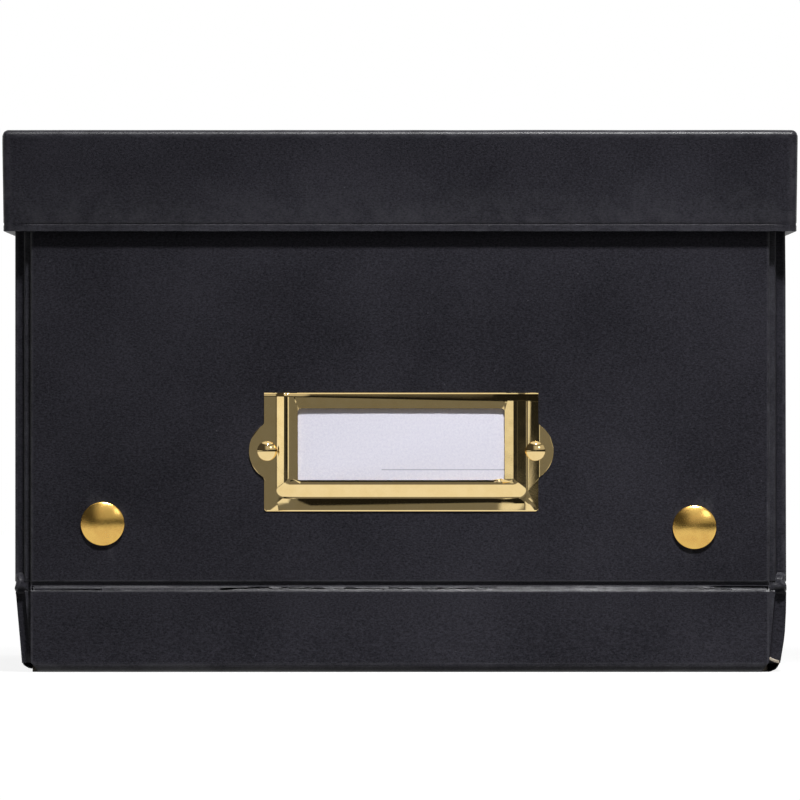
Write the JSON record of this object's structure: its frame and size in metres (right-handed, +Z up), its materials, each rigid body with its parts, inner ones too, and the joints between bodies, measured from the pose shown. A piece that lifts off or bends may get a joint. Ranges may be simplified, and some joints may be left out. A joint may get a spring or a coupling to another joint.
{
  "type": "covered board storage box",
  "caption": "Black paper-covered board storage box, A5 format, with lift-off lid, press-stud corners, creased foot and brass label holder.",
  "frame": {"origin": "middle of the underside of the base", "axes": "+Z up, the wall with the label holder faces -Y, +X to its right seen from the front"},
  "size_m": [0.22, 0.285, 0.15],
  "materials": {
    "cover_paper": "fine grained black cover paper, satin",
    "lining_paper": "plain black lining paper, matt",
    "grey_board": "raw grey board",
    "polished_brass": "polished",
    "satin_brass": "satin",
    "card": "white card with one thin ruled line"
  },
  "bodies": {
    "body": {"back_cover": "cover_paper", "back_foot_board": "grey_board", "back_lining": "lining_paper", "back_wall_board": "grey_board", "base_board": "grey_board", "base_cover": "cover_paper", "base_lining": "lining_paper", "front_cover": "cover_paper", "front_foot_board": "grey_board", "front_lining": "lining_paper", "front_wall_board": "grey_board", "label_frame": "polished_brass", "label_rivets": "polished_brass", "label_washers": "satin_brass", "left_back_flap_board": "grey_board", "left_back_foot_flap_board": "grey_board", "left_cover": "cover_paper", "left_foot_board": "grey_board", "left_front_flap_board": "grey_board", "left_front_foot_flap_board": "grey_board", "left_lining": "lining_paper", "left_wall_board": "grey_board", "right_back_flap_board": "grey_board", "right_back_foot_flap_board": "grey_board", "right_cover": "cover_paper", "right_foot_board": "grey_board", "right_front_flap_board": "grey_board", "right_front_foot_flap_board": "grey_board", "right_lining": "lining_paper", "right_wall_board": "grey_board", "stud_balls": "satin_brass", "stud_caps": "satin_brass", "stud_posts": "satin_brass", "stud_sockets": "satin_brass"},
    "lid": {"lid_back_board": "grey_board", "lid_cover": "cover_paper", "lid_front_board": "grey_board", "lid_left_board": "grey_board", "lid_lining": "lining_paper", "lid_right_board": "grey_board", "lid_top_board": "grey_board"},
    "card": {"label_card": "card"}
  },
  "joints": [
    {"name": "lid_lift", "type": "slide", "parent": "body", "child": "lid", "axis": [0, 0, 1], "range_m": [0, 0.2]},
    {"name": "card_slide", "type": "slide", "parent": "body", "child": "card", "axis": [0, 0, 1], "range_m": [0, 0.03]}
  ]
}
